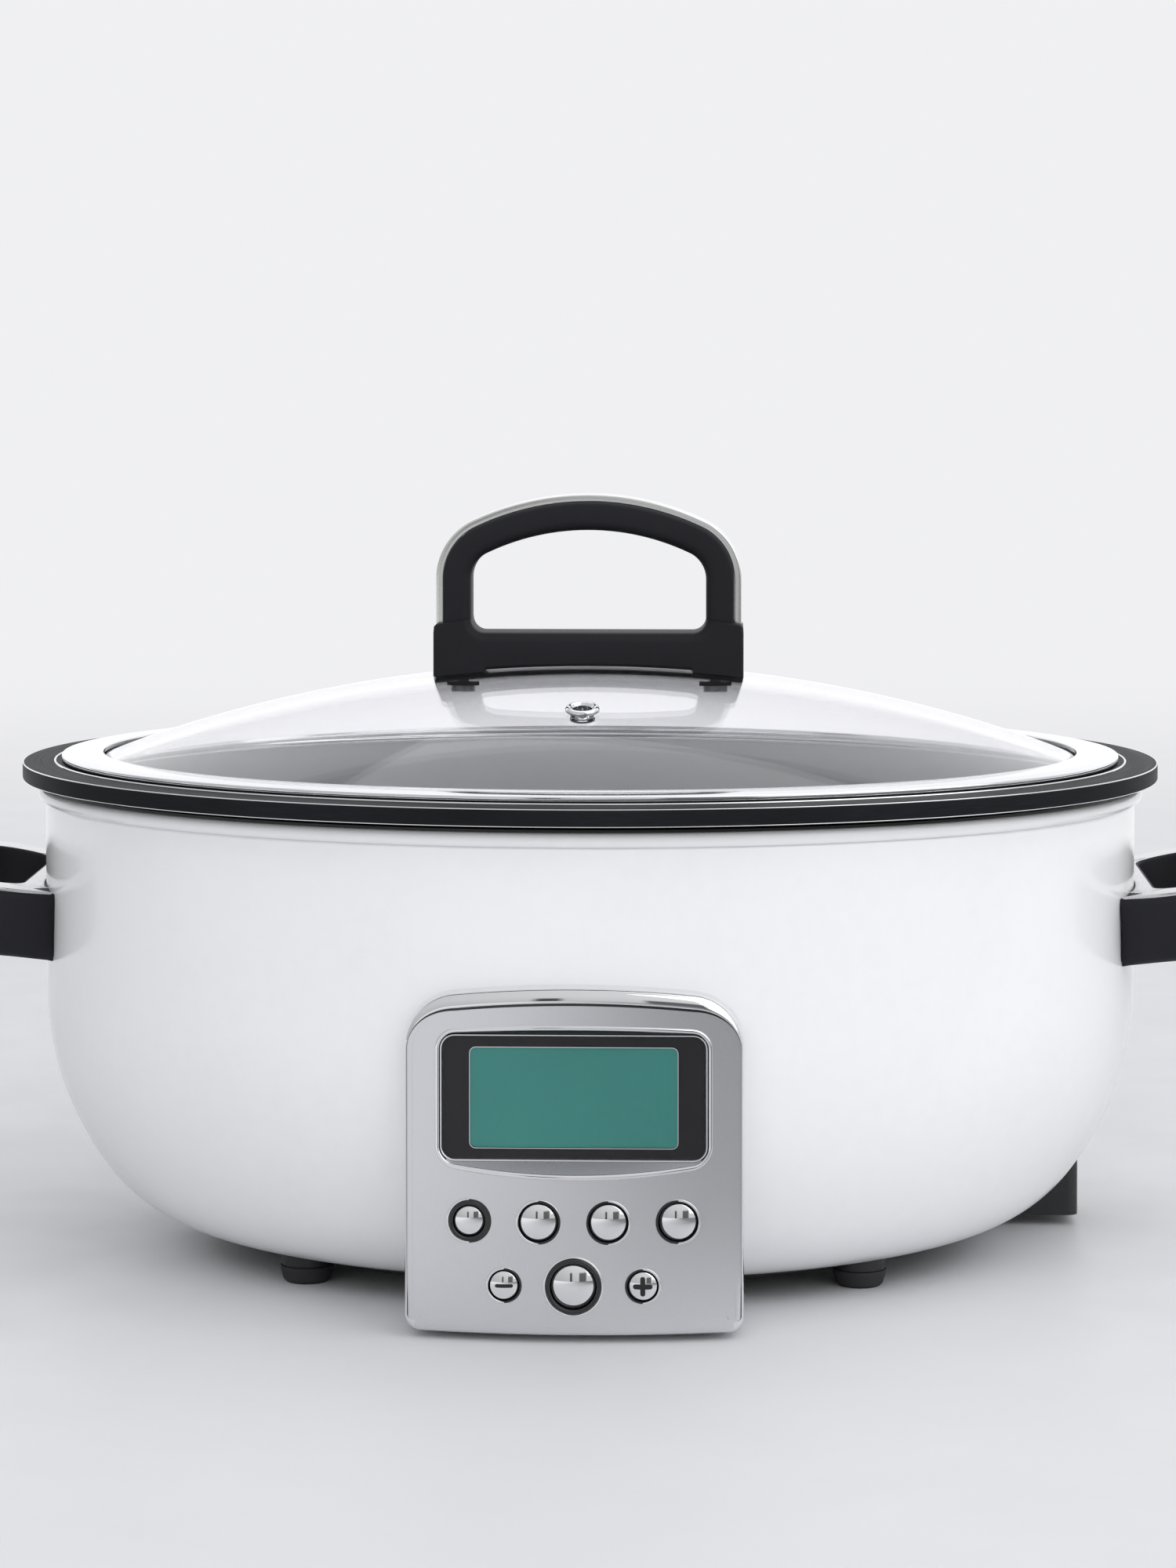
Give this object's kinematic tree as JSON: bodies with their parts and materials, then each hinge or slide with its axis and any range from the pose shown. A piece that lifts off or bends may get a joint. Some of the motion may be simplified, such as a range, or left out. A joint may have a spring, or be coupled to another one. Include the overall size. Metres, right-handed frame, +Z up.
{
  "type": "slow cooker",
  "caption": "Oval countertop slow cooker with a lift-out pot, domed glass lid with an arched handle, two side handles and a front panel with a display and push buttons.",
  "frame": {"origin": "on the counter, under the middle of the oval", "axes": "+X to the right along the cooker's length, -Y towards the user and the control panel, +Z up"},
  "size_m": [0.5082, 0.3251, 0.2765],
  "materials": {
    "enamel": "glossy white enamel",
    "base_plastic": "fine matt black",
    "foot_rubber": "matt",
    "fixings": "plain steel",
    "liner_sheet": "pressed sheet, satin",
    "heater_aluminium": "cast and turned",
    "element_tube": "dull sheath",
    "board": "solder resist",
    "panel_satin": "satin silver",
    "bright_trim": "mirror chrome",
    "window": "clear smoked window",
    "window_mask": "glossy black",
    "lcd": "green liquid crystal",
    "ring_black": "glossy black",
    "handle_black": "satin black",
    "brushed_trim": "fine brushed stainless",
    "pot_black": "dark non-stick coating",
    "lid_glass": "clear tempered glass"
  },
  "bodies": {
    "base": {"housing": "enamel", "base_tray": "base_plastic", "feet": "foot_rubber", "base_screws": "fixings", "inner_liner": "liner_sheet", "heat_shield": "liner_sheet", "shield_spacers": "fixings", "heating_plate": "heater_aluminium", "heating_element": "element_tube", "plate_studs": "fixings", "sensor_guide": "fixings", "sensor_spring": "fixings", "power_board": "board", "panel_surround": "panel_satin", "panel_face": "panel_satin", "display_bezel": "bright_trim", "display_lens": "window", "display_mask": "window_mask", "display_lcd": "lcd", "button_rings": "ring_black", "circuit_board": "board", "tact_switches": "ring_black", "board_cover": "base_plastic", "board_screws": "fixings", "side_handle_left": "handle_black", "side_handle_right": "handle_black", "handle_trim_left": "brushed_trim", "handle_trim_right": "brushed_trim", "handle_screws": "fixings", "inlet_housing": "base_plastic", "cord_gland": "foot_rubber"},
    "sensor": {"temperature_sensor": "fixings"},
    "pot": {"pot": "pot_black"},
    "lid": {"lid_glass": "lid_glass", "lid_ring": "brushed_trim", "vent_eyelet": "bright_trim", "lid_handle": "handle_black", "lid_handle_strip": "brushed_trim", "lid_screws": "fixings", "lid_washers": "foot_rubber"},
    "sear_key": {"sear_button": "bright_trim"},
    "menu_key": {"menu_button": "bright_trim"},
    "time_key": {"time_button": "bright_trim"},
    "heat_key": {"heat_button": "bright_trim"},
    "minus_key": {"minus_button": "bright_trim"},
    "start_key": {"start_button": "bright_trim"},
    "plus_key": {"plus_button": "bright_trim"}
  },
  "joints": [
    {"name": "pot_lift", "type": "slide", "parent": "base", "child": "pot", "axis": [0, 0, 1], "range_m": [0, 0.2]},
    {"name": "lid_lift", "type": "slide", "parent": "pot", "child": "lid", "axis": [0, 0, 1], "range_m": [0, 0.1]},
    {"name": "sensor_press", "type": "slide", "parent": "base", "child": "sensor", "axis": [0, 0, -1], "range_m": [0, 0.002], "stiffness_N_per_m": 400, "springref_m": -0.002, "deforming": ["sensor_spring"]},
    {"name": "sear_press", "type": "slide", "parent": "base", "child": "sear_key", "axis": [0, 1, 0], "range_m": [0, 0.001], "stiffness_N_per_m": 400, "springref_m": -0.0005},
    {"name": "menu_press", "type": "slide", "parent": "base", "child": "menu_key", "axis": [0, 1, 0], "range_m": [0, 0.001], "stiffness_N_per_m": 400, "springref_m": -0.0005},
    {"name": "time_press", "type": "slide", "parent": "base", "child": "time_key", "axis": [0, 1, 0], "range_m": [0, 0.001], "stiffness_N_per_m": 400, "springref_m": -0.0005},
    {"name": "heat_press", "type": "slide", "parent": "base", "child": "heat_key", "axis": [0, 1, 0], "range_m": [0, 0.001], "stiffness_N_per_m": 400, "springref_m": -0.0005},
    {"name": "minus_press", "type": "slide", "parent": "base", "child": "minus_key", "axis": [0, 1, 0], "range_m": [0, 0.001], "stiffness_N_per_m": 400, "springref_m": -0.0005},
    {"name": "start_press", "type": "slide", "parent": "base", "child": "start_key", "axis": [0, 1, 0], "range_m": [0, 0.001], "stiffness_N_per_m": 400, "springref_m": -0.0005},
    {"name": "plus_press", "type": "slide", "parent": "base", "child": "plus_key", "axis": [0, 1, 0], "range_m": [0, 0.001], "stiffness_N_per_m": 400, "springref_m": -0.0005}
  ]
}
